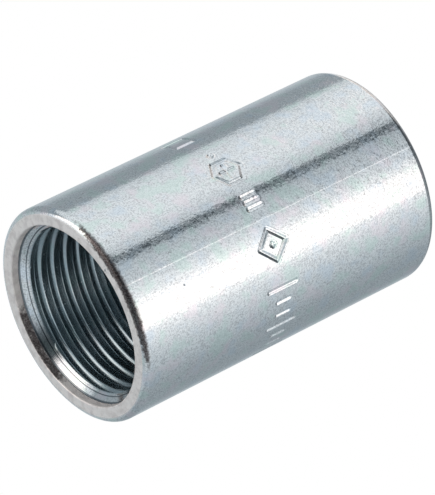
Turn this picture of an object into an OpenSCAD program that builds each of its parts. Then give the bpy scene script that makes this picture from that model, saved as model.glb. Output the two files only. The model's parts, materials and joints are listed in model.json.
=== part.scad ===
// Threaded coupling for rigid metal conduit, 1/2 in. trade size.
// One piece of steel tube: bored, recessed at both ends, tapped straight through
// with a parallel pipe thread, roll-stamped round its middle and zinc plated.
// Its axis lies along X, and the origin is on the axis halfway between the end faces.

/* [Conduit] */
// Outside diameter of the conduit that screws in
conduit_d = 21.34; // [17:0.01:30]

/* [Sleeve] */
// Length from one end face to the other
body_len = 42.2; // [30:0.1:60]
// Wall between the end recess and the outside
wall = 2.025; // [1.5:0.005:4]
// Radius of the rounded outer edge at each end
edge_r = 0.8; // [0.2:0.05:1.2]

/* [End recess] */
// Gap all round between the conduit and the recess
recess_clearance = 0.13; // [0.05:0.01:0.5]
// Depth of the plain recess, which guides the conduit on to the thread
recess_depth = 1.0; // [0.5:0.1:4]
// Break on the recess's sharp inner edge, at 45 degrees
recess_break = 0.15; // [0.05:0.05:0.4]
// Slope of the lead-in below the recess, measured from the axis
lead_angle = 45; // [30:1:60]

/* [Thread] */
// Threads per inch
threads_per_inch = 14; // [11:0.5:18]
// Gap all round between the conduit's outside and the root of the groove
root_inset = 0.06; // [0:0.01:0.2]
// Flat left at the root of the groove
root_flat = 0.07; // [0.05:0.01:0.2]
// Flat left on the crest between two turns of the groove
crest_flat = 0.9; // [0.4:0.01:1]
// Angle between the two flanks of the groove
flank_angle = 60; // [50:1:60]
// Turn of the whole groove about the sleeve's axis
groove_turn = -52; // [-180:1:180]
// Straight steps that make up one turn of the groove
steps_per_turn = 32; // [24:4:40]

/* [Stamped band] */
// Distance of the band from the middle of the sleeve, along X
band_x = -1.5; // [-5:0.1:5]
// Height of the marks, along X
mark_height = 4.2; // [2:0.1:6]
// Width of a stamped stroke
stroke_w = 0.34; // [0.2:0.01:0.6]
// Depth of a stamped stroke
stroke_depth = 0.14; // [0.05:0.01:0.3]
// Arc length from one stroke of the tally to the next
tally_step = 0.8; // [0.6:0.05:1.2]
// Arc length from one bar of the row to the next
bar_step = 1.75; // [1:0.05:3]
// How many bars the row has
bar_count = 9; // [3:1:12]

/* [Hidden] */
$fn = 96;

recess_r = conduit_d / 2 + recess_clearance;
body_r = recess_r + wall;
half_len = body_len / 2;
edge = min(edge_r, wall / 2);

pitch = 25.4 / threads_per_inch;
flank_slope = tan(flank_angle / 2);
root_r = conduit_d / 2 - root_inset;
crest_r = root_r - (pitch - crest_flat - root_flat) / 2 / flank_slope;
lead_len = (recess_r - crest_r) / tan(lead_angle);

// The cutter reaches this far inside the crests, so that it leaves no skin on them.
crest_overlap = 0.1;
cutter_r = crest_r - crest_overlap;
root_half = root_flat / 2;
mouth_half = root_half + (root_r - cutter_r) * flank_slope;
// It starts and ends wholly inside the recesses, as a tap does when it runs through.
run_out = 0.05;
helix_half = half_len - recess_depth + mouth_half + run_out;
steps = ceil(2 * helix_half / pitch * steps_per_turn);

// Marks sit at arc lengths round the sleeve, counted from the top (+Z) towards the front (-Y).
square_arc = -5.3;
dot_arc = 0.2;
hexagon_arc = 3.2;
tally_arc = 6.9;
diamond_arc = 13.1;
first_bar_arc = 18.2;
square_sides = 4;
hexagon_sides = 6;
tally_count = 3;
long_bar_every = 3;
// Small strokes have this share of the marks' height.
small_share = 0.5;
dot_d = 2 * stroke_w;

// Blanks and cutters stand out past what they cut by this much.
stand_out = 1;

function arc_to_angle(arc) = 180 + arc * 180 / (PI * body_r);

// Half of the sleeve's section, from mid-length to one end: radius across, axis up.
module half_section() {
    difference() {
        square([body_r, half_len]);
        // rounded outer edge
        translate([body_r - edge, half_len - edge])
            difference() {
                square(edge + stand_out);
                circle(edge);
            }
        // bore, lead-in, recess and its broken edge
        polygon([
            [-stand_out, -stand_out],
            [crest_r, -stand_out],
            [crest_r, half_len - recess_depth - lead_len],
            [recess_r, half_len - recess_depth],
            [recess_r, half_len - recess_break],
            [recess_r + recess_break, half_len],
            [recess_r + recess_break, half_len + stand_out],
            [-stand_out, half_len + stand_out]
        ]);
    }
}

module blank() {
    rotate_extrude() {
        half_section();
        mirror([0, 1]) half_section();
    }
}

// One corner of the groove's section, carried to step k of the helix.
function groove_point(k, r, offset) =
    let (turn = 360 * k / steps_per_turn, z = -helix_half + pitch * k / steps_per_turn)
    [r * cos(turn), r * sin(turn), z + offset];

// The groove's section at step k: two corners at its mouth and two at its root.
function groove_section(k) = [
    groove_point(k, cutter_r, -mouth_half),
    groove_point(k, root_r, -root_half),
    groove_point(k, root_r, root_half),
    groove_point(k, cutter_r, mouth_half)
];

// A right-handed helical cutter with the section of the thread's groove.
module thread_cutter() {
    corners = 4;
    points = [for (k = [0:steps]) each groove_section(k)];
    sides = [
        for (k = [0:steps - 1], c = [0:corners - 1])
            let (
                a = k * corners + c,
                b = k * corners + (c + 1) % corners,
                a2 = a + corners,
                b2 = b + corners
            )
            each [[a, b, b2], [a, b2, a2]]
    ];
    first_end = [[0, 3, 2], [0, 2, 1]];
    last = steps * corners;
    last_end = [[last, last + 1, last + 2], [last, last + 2, last + 3]];
    polyhedron(points = points, faces = concat(sides, first_end, last_end), convexity = 10);
}

// Stands a flat drawing on the outside of the sleeve, in the stamped band.
// The drawing's x runs along the sleeve and its y runs round it.
module at_arc(arc) {
    rotate([0, 0, arc_to_angle(arc)])
        translate([body_r - stand_out, 0, band_x])
            rotate([0, 90, 0])
                linear_extrude(2 * stand_out) children();
}

// A straight stroke with round ends, along x.
module stroke(length) {
    square([length - stroke_w, stroke_w], center = true);
    for (side = [-1, 1])
        translate([side * (length - stroke_w) / 2, 0]) circle(d = stroke_w);
}

// Outline of a regular polygon, made of strokes, with a corner at each end of x.
module outline(sides, across) {
    apothem = across / 2 * cos(180 / sides);
    side_len = across * sin(180 / sides);
    for (k = [0:sides - 1])
        rotate(360 * k / sides + 180 / sides - 90)
            translate([0, apothem - stroke_w / 2])
                stroke(side_len);
}

module marks() {
    at_arc(square_arc) rotate(180 / square_sides) outline(square_sides, mark_height);
    at_arc(dot_arc) circle(d = dot_d);
    at_arc(hexagon_arc) {
        outline(hexagon_sides, mark_height);
        for (turn = [0, 90])
            rotate(turn) stroke(mark_height * small_share);
    }
    for (k = [0:tally_count - 1])
        at_arc(tally_arc + k * tally_step) stroke(mark_height * small_share);
    at_arc(diamond_arc) {
        outline(square_sides, mark_height);
        circle(d = dot_d);
    }
    for (k = [0:bar_count - 1])
        at_arc(first_bar_arc + k * bar_step)
            stroke(k % long_bar_every == 0 ? mark_height : mark_height * small_share);
}

// The marks, kept to the outermost layer of the wall.
module marks_cutter() {
    difference() {
        marks();
        cylinder(r = body_r - stroke_depth, h = body_len, center = true);
    }
}

module coupling() {
    color("lightsteelblue")
        rotate([0, 90, 0])
            difference() {
                blank();
                rotate(groove_turn) thread_cutter();
                marks_cutter();
            }
}

coupling();
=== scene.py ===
"""A threaded coupling for rigid metal conduit: one zinc-plated steel sleeve, lying on its side.

The coupling's axis lies along X, its middle is at the origin and +Z is up. Angles round the sleeve
are counted from the top (+Z) towards the front (-Y). Lengths are in millimetres until the points
are put into a mesh, which is in metres.
"""

import json

import bpy
import numpy as np
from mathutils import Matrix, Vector


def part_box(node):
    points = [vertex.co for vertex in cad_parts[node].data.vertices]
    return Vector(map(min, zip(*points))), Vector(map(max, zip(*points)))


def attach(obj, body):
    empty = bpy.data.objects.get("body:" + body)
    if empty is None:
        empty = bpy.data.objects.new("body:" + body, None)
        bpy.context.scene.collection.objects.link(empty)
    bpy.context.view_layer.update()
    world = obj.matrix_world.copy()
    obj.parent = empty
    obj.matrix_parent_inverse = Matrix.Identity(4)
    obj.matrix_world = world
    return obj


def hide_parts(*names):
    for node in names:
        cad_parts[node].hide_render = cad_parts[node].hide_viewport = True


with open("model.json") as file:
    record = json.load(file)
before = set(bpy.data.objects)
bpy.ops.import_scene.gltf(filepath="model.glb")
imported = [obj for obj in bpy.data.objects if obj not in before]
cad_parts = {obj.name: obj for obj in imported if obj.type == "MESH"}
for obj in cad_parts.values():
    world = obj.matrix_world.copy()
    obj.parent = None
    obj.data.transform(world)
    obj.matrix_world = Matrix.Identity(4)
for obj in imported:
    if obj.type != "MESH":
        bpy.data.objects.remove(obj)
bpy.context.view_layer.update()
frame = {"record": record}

MM = 0.001

# ---------------------------------------------------------------------------------------------
# The sleeve's outside: drawn steel tube cut to length, with a band of plain marks rolled into it
# round the middle. Each stroke is pushed in by a hardened die, which leaves a soft floor, a faint
# burr along its edges and a shallow dip round the mark.

_, sleeve_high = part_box("coupling")
HALF_LEN = sleeve_high[0] / MM
BODY_R = sleeve_high[2] / MM
EDGE_R = 0.8

BAND_X = -1.5
MARK_HEIGHT = 4.2
STROKE_W = 0.34
STROKE_DEPTH = 0.14
SMALL_SHARE = 0.5
BURR_HEIGHT = 0.012
BURR_W = 0.09
DIP_DEPTH = 0.016
DIP_W = 0.75

# Arc lengths of the marks round the sleeve.
SQUARE_SIDES, HEXAGON_SIDES = 4, 6
SQUARE_ARC, DOT_ARC, HEXAGON_ARC, DIAMOND_ARC = -5.3, 0.2, 3.2, 13.1
TALLY_ARC, TALLY_STEP, TALLY_COUNT = 6.9, 0.8, 3
BAR_ARC, BAR_STEP, BAR_COUNT, LONG_BAR_EVERY = 18.2, 1.75, 9, 3


def stroke(length, turn_deg=0.0, at=(0.0, 0.0)):
    """A straight stroke as its two end points in the plane of the rolled-out surface.

    The plane's first axis runs along the sleeve and its second is arc length round it. The ends
    are half a stroke's width in from the stroke's full length, because they are round.
    """
    reach = (length - STROKE_W) / 2
    turn = np.radians(turn_deg)
    step = reach * np.array([np.cos(turn), np.sin(turn)])
    return np.array([at - step, at + step])


def outline(sides, across, turn_deg=0.0):
    """A regular polygon of strokes, each at right angles to the line from the centre to it."""
    apothem = across / 2 * np.cos(np.pi / sides) - STROKE_W / 2
    side = across * np.sin(np.pi / sides)
    turns = turn_deg + (np.arange(sides) + 0.5) * 360 / sides
    middles = apothem * np.stack([np.cos(np.radians(turns)), np.sin(np.radians(turns))], -1)
    return [stroke(side, turn + 90, middle) for turn, middle in zip(turns, middles)]


def placed(strokes, arc):
    """The same strokes in the stamped band, moved round the sleeve by an arc length."""
    return [s + (BAND_X, arc) for s in strokes]


dot = [stroke(2 * STROKE_W), stroke(2 * STROKE_W, 90)]
short = [stroke(MARK_HEIGHT * SMALL_SHARE)]
long = [stroke(MARK_HEIGHT)]
cross = short + [stroke(MARK_HEIGHT * SMALL_SHARE, 90)]

marks = placed(outline(SQUARE_SIDES, MARK_HEIGHT, 180 / SQUARE_SIDES), SQUARE_ARC)
marks += placed(dot, DOT_ARC)
marks += placed(outline(HEXAGON_SIDES, MARK_HEIGHT) + cross, HEXAGON_ARC)
for count in range(TALLY_COUNT):
    marks += placed(short, TALLY_ARC + TALLY_STEP * count)
marks += placed(outline(SQUARE_SIDES, MARK_HEIGHT) + dot, DIAMOND_ARC)
for count in range(BAR_COUNT):
    marks += placed(short if count % LONG_BAR_EVERY else long, BAR_ARC + BAR_STEP * count)
marks = np.array(marks)


NO_DIVIDE_BY_ZERO = 1e-9


def distance_to_marks(x, arc):
    """Distance from each point to the nearest stroke's centre line.

    For a stroke from a to b, the nearest point is a + t (b - a), with t the point's share of the
    way along, kept between 0 and 1.
    """
    points = np.stack(np.broadcast_arrays(x, arc), -1)[..., None, :]
    start, way = marks[:, 0], marks[:, 1] - marks[:, 0]
    share = ((points - start) * way).sum(-1) / np.maximum((way**2).sum(-1), NO_DIVIDE_BY_ZERO)
    nearest = start + np.clip(share, 0, 1)[..., None] * way
    return np.linalg.norm(points - nearest, axis=-1).min(-1)


def relief(x, arc):
    """Height of the surface over the plain cylinder.

    A stroke is a cosine trough as wide as the stroke's die at half its depth, its burr is a low
    bell just outside it, and the dip round the mark is a wide shallow bell.
    """
    away = distance_to_marks(x, arc)
    trough = 0.5 + 0.5 * np.cos(np.pi * np.clip(away / STROKE_W, 0, 1))
    burr = np.exp(-(((away - STROKE_W) / BURR_W) ** 2))
    dip = np.exp(-((away / DIP_W) ** 2))
    return BURR_HEIGHT * burr - STROKE_DEPTH * trough - DIP_DEPTH * dip


LINE_POINTS = 20001


def spread(low, high, spacing):
    """Positions from low to high whose spacing follows a function of position.

    The density 1 / spacing is summed along a fine line, and the line is cut where the sum passes
    each whole share of its total.
    """
    line = np.linspace(low, high, LINE_POINTS)
    density = 1 / spacing(line)
    total = np.concatenate([[0], np.cumsum((density[1:] + density[:-1]) / 2 * np.diff(line))])
    count = int(np.ceil(total[-1]))
    return np.interp(np.linspace(0, total[-1], count + 1), total, line)


FINE = 0.064
COARSE_ARC = 0.34
COARSE_X = 3.0
CLEAR = 0.42
EASE = 0.35
GROWTH = 4
SUPPORT = 0.05


def eased(away, coarse):
    """Spacing that is fine up to CLEAR away from a stroke and grows evenly to coarse beyond it."""
    return np.clip(FINE + (away - CLEAR) / EASE * FINE * GROWTH, FINE, coarse)


def arc_spacing(arc):
    """Spacing round the sleeve, which is fine beside each stroke."""
    low, high = marks[:, :, 1].min(1), marks[:, :, 1].max(1)
    away = np.maximum(low - arc[:, None], arc[:, None] - high).min(1)
    return eased(away, COARSE_ARC)


def x_spacing(x):
    """Spacing along the sleeve, which is fine in the stamped band."""
    away = np.maximum(marks[:, :, 0].min() - x, x - marks[:, :, 0].max())
    return eased(away, COARSE_X)


HALF_ROUND = np.pi * BODY_R
arcs = spread(-HALF_ROUND, HALF_ROUND, arc_spacing)[:-1]
wall_x = spread(EDGE_R - HALF_LEN, HALF_LEN - EDGE_R, x_spacing)
thetas = arcs / BODY_R


def around(x, radius, theta):
    """Points at a radius and an angle round the axis: (x, -r sin(theta), r cos(theta))."""
    x, radius, theta = np.broadcast_arrays(x, radius, theta)
    return np.stack([x, -radius * np.sin(theta), radius * np.cos(theta)], -1)


def rounded(a, corner, b, count):
    """Points of a quadratic curve that leaves a towards the corner and reaches b from it."""
    t = np.linspace(0, 1, count)[:, None]
    return (1 - t) ** 2 * np.array(a) + 2 * t * (1 - t) * np.array(corner) + t**2 * np.array(b)


class Shell:
    """Collects points and triangles of one closed mesh."""

    def __init__(self):
        self.points, self.triangles, self.size = [], [], 0

    def add(self, points):
        """Stores an array of points and returns their numbers in the same arrangement."""
        numbers = self.size + np.arange(points[..., 0].size).reshape(points.shape[:-1])
        self.points.append(points.reshape(-1, 3))
        self.size += numbers.size
        return numbers

    def sheet(self, a, b, c, d):
        """Two triangles for each four-sided cell, given the numbers of its corners in order."""
        self.triangles.append(np.stack([a, b, c], -1).reshape(-1, 3))
        self.triangles.append(np.stack([a, c, d], -1).reshape(-1, 3))

    def lathe(self, rings):
        """Joins closed rings of equal length, each to the next along the first index."""
        onward = np.roll(rings, -1, 1)
        self.sheet(rings[:-1], rings[1:], onward[1:], onward[:-1])

    def zip(self, first, first_at, second, second_at):
        """Joins two closed rings of unlike length.

        All the angles are put in one order. Passing a point of either ring closes one triangle,
        from that point and the one before it to the last point passed on the other ring.
        """
        first_at, second_at = first_at % (2 * np.pi), second_at % (2 * np.pi)
        first, second = first[np.argsort(first_at)], second[np.argsort(second_at)]
        order = np.argsort(np.concatenate([np.sort(first_at), np.sort(second_at)]), kind="stable")
        of_first = order < len(first)
        last_first = np.cumsum(of_first) - 1
        last_second = np.cumsum(~of_first) - 1
        here_first = first[last_first % len(first)]
        here_second = second[last_second % len(second)]
        before_first = first[(last_first - 1) % len(first)]
        before_second = second[(last_second - 1) % len(second)]
        self.triangles.append(np.stack([before_first, here_second, here_first], -1)[of_first])
        self.triangles.append(np.stack([before_second, here_second, here_first], -1)[~of_first])

    def mesh(self, name):
        """The mesh in metres, with no triangle that has lost a side and no point left over."""
        points, triangles = np.concatenate(self.points) * MM, np.concatenate(self.triangles)
        kept = (triangles != np.roll(triangles, 1, 1)).all(1)
        used, triangles = np.unique(triangles[kept], return_inverse=True)
        triangles = triangles.reshape(-1, 3)
        mesh = bpy.data.meshes.new(name)
        mesh.vertices.add(len(used))
        mesh.vertices.foreach_set("co", points[used].ravel())
        mesh.loops.add(triangles.size)
        mesh.loops.foreach_set("vertex_index", triangles.ravel())
        mesh.polygons.add(len(triangles))
        mesh.polygons.foreach_set("loop_start", np.arange(0, triangles.size, 3))
        mesh.update(calc_edges=True)
        return mesh


sleeve = Shell()
wall_x = np.concatenate([[EDGE_R - HALF_LEN], wall_x[1:-1], [HALF_LEN - EDGE_R]])
wall_x = np.insert(wall_x, [1, len(wall_x) - 1], [wall_x[0] + SUPPORT, wall_x[-1] - SUPPORT])
wall = sleeve.add(around(wall_x[:, None], BODY_R + relief(wall_x[:, None], arcs), thetas))
sleeve.lathe(wall[::-1])

# ---------------------------------------------------------------------------------------------
# The bore: drilled, given a plain recess and a 45 degree lead-in at each end on a lathe, then
# tapped straight through with a right-hand parallel pipe thread, 14 to the inch. The conduit's
# outside slides into the recess and its own thread runs up the groove.

mounts = {m["name"]: m for m in frame["record"]["mounts"]}
CREST_R = mounts["conduit_thread_left"]["dims"]["r_mm"]
RECESS_R = mounts["conduit_recess_left"]["dims"]["r_mm"]
RECESS_DEPTH = 1.0
RECESS_BREAK = 0.15
INCH = 25.4
THREADS_PER_INCH = 14
PITCH = INCH / THREADS_PER_INCH
ROOT_R = 10.61
CREST_FLAT = 0.9
CREST_AT_TOP = -18.59
CREST_ROUND = 0.16
ROOT_FLAT = 0.07
ROOT_ROUND = 0.08
ROUND_POINTS = 3
FLANK_ANGLE = 60
FLANK = np.tan(np.radians(FLANK_ANGLE / 2))
STEPS = 128
SNAP = 0.03

LEAD_START = HALF_LEN - RECESS_DEPTH
along_flank = np.array([FLANK, 1])
crest_corner = np.array([CREST_FLAT / 2, CREST_R])
root_corner = np.array([(PITCH - ROOT_FLAT) / 2, ROOT_R])
half_groove = np.concatenate([
    [[0, CREST_R]],
    rounded(
        crest_corner - (CREST_ROUND, 0),
        crest_corner,
        crest_corner + CREST_ROUND * along_flank,
        ROUND_POINTS,
    ),
    rounded(root_corner - ROOT_ROUND * along_flank, root_corner, (PITCH / 2, ROOT_R), ROUND_POINTS),
])
groove = np.concatenate([half_groove, (half_groove * (-1, 1) + (PITCH, 0))[-2:0:-1]])


def lead_in(x):
    """Radius of the lead-in cone, which widens by one for one from the bore to the recess."""
    return RECESS_R - (LEAD_START - np.abs(x))


columns = len(groove)
step_angle = 2 * np.pi * np.arange(STEPS) / STEPS
start = CREST_AT_TOP - PITCH * np.ceil((CREST_AT_TOP + LEAD_START) / PITCH + 1)
turns = int(np.ceil((LEAD_START - start) / PITCH))
screw = start + PITCH * (np.repeat(np.arange(turns), columns) + step_angle[:, None] / (2 * np.pi))
screw_x = screw + np.tile(groove[:, 0], turns)
screw_r = np.tile(groove[:, 1], (STEPS, turns))

# Where the lead-in cuts a flank or a crest, the nearer of the two points moves to the cut.
over = lead_in(screw_x) - screw_r
cut = over[:, :-1] * over[:, 1:] < 0
share = np.where(cut, over[:, :-1] / np.where(cut, over[:, :-1] - over[:, 1:], 1), 0)
cut_x = screw_x[:, :-1] + share * np.diff(screw_x)
cut_r = screw_r[:, :-1] + share * np.diff(screw_r)
for side, rows in ((slice(0, -1), cut & (share < 0.5)), (slice(1, None), cut & (share >= 0.5))):
    screw_x[:, side][rows] = cut_x[rows]
    screw_r[:, side][rows] = cut_r[rows]
screw_r = np.maximum(screw_r, lead_in(screw_x))

thread = sleeve.add(around(screw_x, screw_r, step_angle[:, None]))
mouths = {}
for end in (-1, 1):
    mouths[end] = sleeve.add(around(end * LEAD_START, RECESS_R, step_angle))
    beyond = end * screw_x > LEAD_START - SNAP
    thread[beyond] = np.broadcast_to(mouths[end][:, None], thread.shape)[beyond]
sleeve.sheet(thread[:-1, :-1], thread[:-1, 1:], thread[1:, 1:], thread[1:, :-1])
last, first = thread[-1, :-columns], thread[0, columns:]
sleeve.sheet(last[:-1], last[1:], first[1:], first[:-1])

# ---------------------------------------------------------------------------------------------
# The ends: faced square on the lathe, with the outer edge rounded over and the recess's inner
# edge just broken. The turning tool leaves fine rings on the face.

EDGE_POINTS = 7
BREAK_POINTS = 5
SHARP = np.radians(35)

quarter = np.linspace(0, np.pi / 2, EDGE_POINTS)[1:]
edge_x = np.append(HALF_LEN - EDGE_R + EDGE_R * np.sin(quarter), HALF_LEN)
edge_r = np.append(BODY_R - EDGE_R + EDGE_R * np.cos(quarter), BODY_R - EDGE_R - SUPPORT)
recess_end = HALF_LEN - RECESS_BREAK
face_r = RECESS_R + RECESS_BREAK
break_curve = rounded(
    (recess_end, RECESS_R), (HALF_LEN, RECESS_R), (HALF_LEN, face_r), BREAK_POINTS
)
break_curve = np.concatenate([
    [[recess_end - SUPPORT, RECESS_R]], break_curve, [[HALF_LEN, face_r + SUPPORT]]
])
for end, wall_ring in ((-1, wall[0]), (1, wall[-1])):
    edge = sleeve.add(around(end * edge_x[:, None], edge_r[:, None], thetas))
    inner = sleeve.add(around(end * break_curve[:, :1], break_curve[:, 1:], step_angle))
    sleeve.lathe(np.vstack([wall_ring, edge])[::-end])
    sleeve.lathe(np.vstack([mouths[end], inner])[::end])
    outer_ring, inner_ring = ((edge[-1], thetas), (inner[-1], step_angle))[::-end]
    sleeve.zip(*outer_ring, *inner_ring)

mesh = sleeve.mesh("threaded_coupling")
mesh.shade_smooth()
mesh.set_sharp_from_angle(angle=SHARP)
piece = bpy.data.objects.new("threaded_coupling", mesh)
bpy.context.scene.collection.objects.link(piece)
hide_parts("coupling")
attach(piece, "root")

# ---------------------------------------------------------------------------------------------
# The finish: electroplated zinc, a few microns thick, over drawn tube, with a clear blue
# passivate. It follows the steel's fine grain, so it shines through a faint orange peel, and the
# passivate tints it unevenly towards blue, green and rose. The threaded bore is painted a darker
# teal, partly its own tint and partly painted shade inside the bore.


class Wire:
    """An output socket, on which Python's arithmetic adds Math nodes."""

    def __init__(self, tree, socket=None):
        self.tree, self.socket = tree, socket

    def node(self, kind, settings=None, inputs=None, output=0):
        """Adds a node, sets it up, fills its sockets with values or wires, and gives an output."""
        made = self.tree.nodes.new(kind)
        for name, value in (settings or {}).items():
            if name == "stops":
                ramp = made.color_ramp.elements
                while len(ramp) < len(value):
                    ramp.new(1)
                for element, (place, colour) in zip(ramp, value):
                    element.position, element.color = place, (*colour, 1)
            else:
                setattr(made, name, value)
        for name, value in (inputs or {}).items():
            if isinstance(value, Wire):
                self.tree.links.new(value.socket, made.inputs[name])
            else:
                made.inputs[name].default_value = value
        return Wire(self.tree, made.outputs[output]) if made.outputs else None

    def math(self, operation, *values):
        """A Math node of these values, or of this socket alone."""
        inputs = dict(enumerate(values or [self]))
        return self.node("ShaderNodeMath", {"operation": operation}, inputs)

    def __add__(self, other):
        return self.math("ADD", self, other)

    def __sub__(self, other):
        return self.math("SUBTRACT", self, other)

    def __rsub__(self, other):
        return self.math("SUBTRACT", other, self)

    def __mul__(self, other):
        return self.math("MULTIPLY", self, other)

    def __truediv__(self, other):
        return self.math("DIVIDE", self, other)

    def __gt__(self, other):
        return self.math("GREATER_THAN", self, other)

    __radd__, __rmul__ = __add__, __mul__

    def step(self, low, high):
        """Rises smoothly from 0 at low to 1 at high, or falls if high is the lower."""
        return self.node(
            "ShaderNodeMapRange",
            {"interpolation_type": "SMOOTHSTEP"},
            {"Value": self, "From Min": low, "From Max": high},
        )

    def mixed(self, other, share):
        """This colour with a share of another."""
        return self.node(
            "ShaderNodeMix", {"data_type": "RGBA"}, {0: share, 6: self, 7: other}, output=2
        )


zinc = bpy.data.materials.new("zinc_plated_steel")
zinc.use_nodes = True
zinc.node_tree.nodes.clear()
pen = Wire(zinc.node_tree)

place = pen.node("ShaderNodeTexCoord", output="Object")
place = pen.node("ShaderNodeVectorMath", {"operation": "SCALE"}, {0: place, "Scale": 1 / MM})
x, y, z = (pen.node("ShaderNodeSeparateXYZ", None, {0: place}, output=axis) for axis in "XYZ")
radius = (y * y + z * z).math("SQRT")
from_end = HALF_LEN - x.math("ABSOLUTE")
right_end = x > 0


def noise(vector, scale, detail=2.0, roughness=0.5):
    """Smooth noise about 0.5, with features about one over the scale in millimetres."""
    return pen.node(
        "ShaderNodeTexNoise",
        None,
        {"Vector": vector, "Scale": scale, "Detail": detail, "Roughness": roughness},
    )


def rings(across, scale):
    """Noise that changes only with one distance, as the feed marks of a lathe tool do."""
    return pen.node(
        "ShaderNodeTexNoise",
        {"noise_dimensions": "1D"},
        {"W": across, "Scale": scale, "Detail": 2.0},
    )


# Masks for each kind of surface. A fade is the distance over which one kind gives way to the next.
EDGE_FADE = 0.25
FLOOR_FADE = 0.1
THREAD_STARTS, THREAD_FULL = 0.75, 0.95

arc = pen.math("ARCTAN2", y * -1, z) * BODY_R
inside = 1 - radius.step(RECESS_R, RECESS_R + RECESS_BREAK)
machined = 1 - radius.step(BODY_R - EDGE_R, BODY_R - EDGE_R + EDGE_FADE)
face = machined * (1 - inside)
recess = inside * (1 - from_end.step(RECESS_DEPTH - FLOOR_FADE, RECESS_DEPTH))
threaded = inside * from_end.step(RECESS_DEPTH + THREAD_STARTS, RECESS_DEPTH + THREAD_FULL)

# Relief: the steel's grain, a faint orange peel, lines drawn out along the tube, and tool marks.
GRAIN_SCALE, GRAIN_DETAIL, GRAIN_ROUGHNESS, GRAIN_HEIGHT = 3.6, 3.0, 0.65, 0.6
PEEL_SCALE, PEEL_DETAIL, PEEL_HEIGHT = 0.9, 3.0, 1.5
DRAWN_STRETCH, DRAWN_HEIGHT = (0.06, 3, 3), 0.35
FACE_RING_SCALE, FACE_RING_HEIGHT = 9.0, 0.9
BORE_RING_SCALE, BORE_RING_HEIGHT = 8.0, 0.5
BORE_SMOOTHED = 0.95
RELIEF_HEIGHT = 0.015

grain = noise(place, GRAIN_SCALE, GRAIN_DETAIL, GRAIN_ROUGHNESS)
peel = noise(place, PEEL_SCALE, PEEL_DETAIL)
stretched = {0: place, 1: DRAWN_STRETCH}
drawn = noise(pen.node("ShaderNodeVectorMath", {"operation": "MULTIPLY"}, stretched), 1.0)
height = (grain * GRAIN_HEIGHT + peel * PEEL_HEIGHT) * (1 - inside * BORE_SMOOTHED)
height = height + drawn * DRAWN_HEIGHT * (1 - machined)
height = height + rings(radius, FACE_RING_SCALE) * FACE_RING_HEIGHT * face
height = height + rings(from_end, BORE_RING_SCALE) * BORE_RING_HEIGHT * inside

# One long scratch from the drawing die runs the whole length of the outside. One bank is steep
# and the other slopes gently, and its depth wanders.
SCRATCH_ARC = 10.07
SCRATCH_W = 0.15
SCRATCH_BANK = 5
SCRATCH_HEIGHT = 1.0
SCRATCH_LEAST = 0.45
SCRATCH_STRETCH = 0.3

across = arc - SCRATCH_ARC
scratch = across.step(-SCRATCH_BANK * SCRATCH_W, -SCRATCH_W / 2)
scratch = scratch * across.step(SCRATCH_W / 2, -SCRATCH_W / 2)
scratch = scratch * (SCRATCH_LEAST + noise(x * SCRATCH_STRETCH, 1.0))
height = height + scratch * SCRATCH_HEIGHT * (1 - machined)
bump = pen.node(
    "ShaderNodeBump", None, {"Strength": 1.0, "Distance": RELIEF_HEIGHT * MM, "Height": height}
)

# Colour: bright zinc with dull flecks, and the passivate's tints in soft patches.
ZINC = (0.92, 0.925, 0.93, 1)
DULL = (0.60, 0.60, 0.61, 1)
BLUE = (0.70, 0.80, 0.91, 1)
ROSE = (0.93, 0.82, 0.86, 1)
GREEN = (0.71, 0.86, 0.79, 1)
SPECK = (0.36, 0.34, 0.34, 1)
TURNED = (0.95, 0.87, 0.83, 1)
SMUDGED = (0.62, 0.55, 0.53, 1)
BORE_TINT_AND_SHADE = (0.24, 0.33, 0.37, 1)

fleck = noise(place, 5.5, 2.0, 0.6).step(0.60, 0.32)
cool = noise(place, 0.42, 3.0)
warm = noise(place, 0.34, 3.0)
specks = noise(place, 1.9, 3.0, 0.65).step(0.61, 0.71)
specks = specks * noise(place, 0.3).step(0.42, 0.6) * 0.55
smudge = noise(place, 0.8, 4.0, 0.65).step(0.42, 0.66)
layers = [
    # colour, its mask, and how strongly it covers what lies below
    (BLUE, cool.step(0.52, 0.7), 0.4),
    (ROSE, warm.step(0.52, 0.68), 0.6),
    (GREEN, cool.step(0.48, 0.34), 0.5),
    (SPECK, specks, 1 - inside),
    (TURNED, face + recess, 0.9),
    (SMUDGED, (face + recess) * smudge, 0.55),
    # the bore's darker teal is partly its own tint and partly painted shade
    (BORE_TINT_AND_SHADE, threaded, 0.74),
]
colour = pen.node(
    "ShaderNodeMix", {"data_type": "RGBA"}, {0: fleck, 6: ZINC, 7: DULL}, output=2
)
for paint, mask, strength in layers:
    colour = colour.mixed(paint, mask * strength)

# Part of each outer edge is painted dark brown: partly a brown stain in the plating, partly a
# painted dark reflection along the rounded edge. The plating is burnt brown over part of each
# recess's wall. A place round the sleeve is its angle at the left end, its angle at the right end
# and its half width.
BROWN = (0.07, 0.055, 0.055, 1)
RAGGED_SCALE, RAGGED_DETAIL, RAGGED_ROUGHNESS = 1.9, 5.0, 0.7
EDGE_BROWN, EDGE_BROWN_FADE, EDGE_BROWN_REACH = (46, 215, 22), 0.4, 1.25
EDGE_BROWN_RAGGED, EDGE_BROWN_END_RAGGED = 1.2, 0.7
WALL_BURN, SECOND_WALL_BURN, SECOND_SHARE = (-140, 60, 30), (-42, 150, 16), 0.7
WALL_BURN_RAGGED = 1.2
BROWN_LEAST, BROWN_SCALE = 0.84, 7.0
ANGLE_FADE = 0.09


def facing(turn_left, turn_right, half_width, fade=ANGLE_FADE):
    """1 round one angle at the left end and another at the right, fading out to a half width."""
    mask = 0
    for turn, there in ((turn_left, 1 - right_end), (turn_right, right_end)):
        towards = (y * -np.sin(np.radians(turn)) + z * np.cos(np.radians(turn))) / radius
        edge = np.cos(np.radians(half_width))
        mask = mask + towards.step(edge - fade, edge + ANGLE_FADE) * there
    return mask


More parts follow.
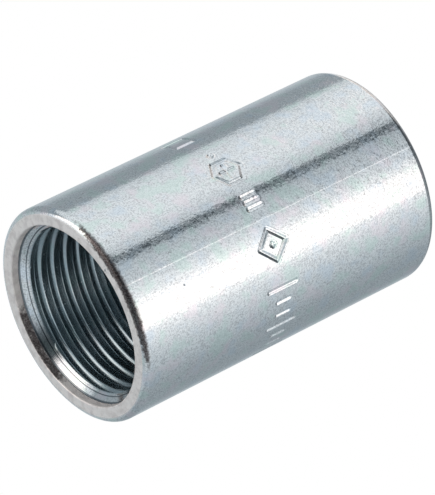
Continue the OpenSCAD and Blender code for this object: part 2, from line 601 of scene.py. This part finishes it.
ragged = noise(place, RAGGED_SCALE, RAGGED_DETAIL, RAGGED_ROUGHNESS)
# painted dark reflection along the rounded outer edge, over a brown stain
edge_brown_and_reflection = radius - BODY_R + facing(*EDGE_BROWN, EDGE_BROWN_FADE) * EDGE_BROWN_REACH
edge_brown_and_reflection = (edge_brown_and_reflection + (ragged - 0.5) * EDGE_BROWN_RAGGED).step(0.2, 0.55)
edge_brown_and_reflection = edge_brown_and_reflection * (from_end + (ragged - 0.5) * EDGE_BROWN_END_RAGGED).step(0.75, 0.35)
burnt_wall = recess * (facing(*WALL_BURN) + facing(*SECOND_WALL_BURN) * SECOND_SHARE)
burnt_wall = (burnt_wall + ragged * WALL_BURN_RAGGED).step(1.2, 1.6)
cover = BROWN_LEAST + noise(place, BROWN_SCALE).step(0.4, 0.6) * (1 - BROWN_LEAST)
colour = colour.mixed(BROWN, (edge_brown_and_reflection + burnt_wall) * cover)

# Painted shade darkens the corner where the recess meets the lead-in, and a thin dark ring is
# painted round the lead-in.
PAINTED_SHADE_AND_PIT_COLOUR = (0.12, 0.14, 0.16, 1)
PAINTED_SHADE_SHARE = 0.85
CORNER_BEFORE, CORNER_AFTER, CORNER_FADE = 0.12, 0.18, 0.08
DARK_RING_AT, DARK_RING_HALF, DARK_RING_FADE = 1.6, 0.06, 0.03

# painted shade in the corner where the recess meets the lead-in
corner = from_end.step(RECESS_DEPTH - CORNER_BEFORE, RECESS_DEPTH)
corner_end = RECESS_DEPTH + CORNER_AFTER
corner = corner * from_end.step(corner_end, corner_end - CORNER_FADE)
low, high = DARK_RING_AT - DARK_RING_HALF, DARK_RING_AT + DARK_RING_HALF
dark_ring = from_end.step(low, low + DARK_RING_FADE) * from_end.step(high, high - DARK_RING_FADE)
colour = colour.mixed(PAINTED_SHADE_AND_PIT_COLOUR, (corner + dark_ring) * inside * PAINTED_SHADE_SHARE)

# Dark specks are painted close together along one strip of the outside, where the dark gap
# between two light panels reflects: a painted reflection. One larger pit stands alone.
GAP_REFLECTION_ARC, GAP_REFLECTION_HALF_WIDTH, GAP_REFLECTION_CORE, GAP_REFLECTION_SHARE = 7.16, 0.85, 0.2, 0.75
GAP_SPECK_SCALE, GAP_SPECK_DETAIL, GAP_SPECK_ROUGHNESS = 2.6, 4.0, 0.7
PIT_X, PIT_ARC, PIT_R, PIT_FADE, PIT_SHARE = -14.0, 12.76, 0.2, 0.1, 0.8

# painted reflection: dark specks along the strip where the gap between two light panels reflects
gap_reflection_strip = (arc - GAP_REFLECTION_ARC).math("ABSOLUTE").step(GAP_REFLECTION_HALF_WIDTH, GAP_REFLECTION_CORE)
gap_reflection_specks = noise(place, GAP_SPECK_SCALE, GAP_SPECK_DETAIL, GAP_SPECK_ROUGHNESS).step(0.50, 0.60)
colour = colour.mixed(PAINTED_SHADE_AND_PIT_COLOUR, gap_reflection_specks * gap_reflection_strip * GAP_REFLECTION_SHARE * (1 - inside))
along, around_it = x - PIT_X, arc - PIT_ARC
pit = (along * along + around_it * around_it).math("SQRT").step(PIT_R, PIT_R - PIT_FADE)
colour = colour.mixed(PAINTED_SHADE_AND_PIT_COLOUR, pit * PIT_SHARE)

# Roughness and metal: the turned face and the recess are duller than the plated outside.
rough = 0.07 + peel * 0.05
for mask, more in ((face, 0.24), (recess, 0.3), (threaded, 0.1), (specks, 0.2), (edge_brown_and_reflection, 0.2)):
    rough = rough + mask * more
metal = 1 - recess * 0.8
for mask, less in ((threaded, 0.02), (face, 0.2)):
    metal = metal - mask * less
shader = pen.node(
    "ShaderNodeBsdfPrincipled",
    None,
    {"Metallic": metal, "Base Color": colour, "Roughness": rough, "Normal": bump},
)
pen.node("ShaderNodeOutputMaterial", None, {"Surface": shader})
mesh.materials.append(zinc)

# ---------------------------------------------------------------------------------------------
# The studio: a pale floor and backdrop, and soft light from panels that run along the sleeve.
# The panels are painted on the world by their angle round the sleeve's axis, from the top (0)
# towards the front (90), below (180) and the back (-90), and dark cloths hang past both ends.

panels = [
    # the angle, and how bright the light is there
    (-180, 0.345), (-160, 0.36), (-145, 0.52), (-125, 0.60), (-110, 0.55), (-99, 0.44),
    (-92, 0.36), (-75, 0.36), (-65, 0.36), (-64, 0.68), (-50, 0.79), (-40, 0.84), (-12, 0.87),
    (-3, 0.81), (5, 0.71), (10, 0.68), (12.5, 0.20), (17, 0.20), (20, 0.54), (30, 0.60),
    (37, 0.69), (45, 0.82), (53, 0.93), (62, 1.15), (67, 1.45), (87, 1.45), (92, 1.08),
    (101, 0.89), (117, 0.69), (133, 0.54), (157, 0.39), (180, 0.345),
]
cloths = [
    (-180, 0.50), (-150, 0.55), (-130, 0.70), (-110, 1.00), (-75, 1.7), (-30, 1.7), (-14, 1.4),
    (2, 0.08), (30, 0.06), (48, 0.15), (62, 0.36), (80, 0.54), (125, 0.62), (146, 0.66),
    (160, 0.52), (180, 0.50),
]
PEAK = 2.0
DIM_TINT = np.array([0.80, 1.0, 1.12])
TINT_PER_LEVEL = np.array([0.16, 0.0, -0.10])


def painted(levels):
    """Ramp stops for light levels by angle: the dimmer the light, the cooler its colour."""
    return [
        ((angle + 180) / 360, (DIM_TINT + TINT_PER_LEVEL * level) * level / PEAK)
        for angle, level in levels
    ]


# The cloths hang past each end, and the darkest ones straight out along the axis and to the right.
# An edge is where a cloth starts and where it covers fully, as a share of the way along the axis.
CLOTH_EDGE = (0.56, 0.66)
END_DARK, END_DARK_EDGE = (0.02, 0.03, 0.035, 1), (0.86, 0.97)
RIGHT_DARK, RIGHT_DARK_EDGE = (0.05, 0.055, 0.06, 1), (0.58, 0.7)
DARK_SHARE = 0.6

world = bpy.data.worlds.new("studio")
world.use_nodes = True
world.node_tree.nodes.clear()
sky = Wire(world.node_tree)
way = sky.node("ShaderNodeTexCoord", output="Generated")
wx, wy, wz = (sky.node("ShaderNodeSeparateXYZ", None, {0: way}, output=axis) for axis in "XYZ")
round_axis = sky.math("ARCTAN2", wy * -1, wz) / (2 * np.pi) + 0.5
light, shade = (
    sky.node("ShaderNodeValToRGB", {"stops": painted(levels)}, {"Fac": round_axis})
    for levels in (panels, cloths)
)
to_end = wx.math("ABSOLUTE")
light = light.mixed(shade, to_end.step(*CLOTH_EDGE))
light = light.mixed(END_DARK, to_end.step(*END_DARK_EDGE) * DARK_SHARE)
light = light.mixed(RIGHT_DARK, wx.step(*RIGHT_DARK_EDGE) * DARK_SHARE)
light = sky.node("ShaderNodeBackground", None, {"Color": light, "Strength": PEAK})
sky.node("ShaderNodeOutputWorld", None, {"Surface": light})
bpy.context.scene.world = world


def stage_piece(name, points, faces):
    """A pale part of the stage that only the camera sees, so that it hides no panel of light."""
    made = bpy.data.meshes.new(name)
    made.from_pydata(points, [], faces)
    paint = bpy.data.materials.new(name)
    paint.use_nodes = True
    paint.node_tree.nodes.clear()
    brush = Wire(paint.node_tree)
    glow = brush.node("ShaderNodeEmission", None, {"Color": (1, 1, 1, 1), "Strength": 1.0})
    brush.node("ShaderNodeOutputMaterial", None, {"Surface": glow})
    made.materials.append(paint)
    obj = bpy.data.objects.new(name, made)
    bpy.context.scene.collection.objects.link(obj)
    obj.visible_glossy = obj.visible_diffuse = obj.visible_shadow = False


STAGE_HALF = 1.2
floor_z = -BODY_R * MM
corners = [(-1, -1), (1, -1), (1, 1), (-1, 1)]
low = [(a * STAGE_HALF, b * STAGE_HALF, floor_z) for a, b in corners]
high = [(a, b, 2 * STAGE_HALF) for a, b, _ in low]
stage_piece("floor", low, [(0, 1, 2, 3)])
walls = [(0, 4, 5, 1), (1, 5, 6, 2), (2, 6, 7, 3), (3, 7, 4, 0)]
ceiling = (4, 7, 6, 5)
stage_piece("backdrop", low + high, [*walls, ceiling])

# ---------------------------------------------------------------------------------------------
# The camera: a long lens, low enough to look into the left-hand mouth.

VIEW_AZIMUTH = np.radians(-40.16)
VIEW_ELEVATION = np.radians(35.62)
VIEW_DISTANCE = 501.9
AIM = Vector((-0.27, -0.05, -0.24))
LENS = 325.3
SENSOR = 36.0

back = Vector((
    np.sin(VIEW_AZIMUTH) * np.cos(VIEW_ELEVATION),
    -np.cos(VIEW_AZIMUTH) * np.cos(VIEW_ELEVATION),
    np.sin(VIEW_ELEVATION),
))
lens = bpy.data.cameras.new("camera")
lens.lens, lens.sensor_width = LENS, SENSOR
camera = bpy.data.objects.new("camera", lens)
camera.location = (AIM + back * VIEW_DISTANCE) * MM
camera.rotation_euler = back.to_track_quat("Z", "Y").to_euler()
bpy.context.scene.collection.objects.link(camera)
bpy.context.scene.camera = camera
bpy.context.scene.view_settings.view_transform = "Standard"
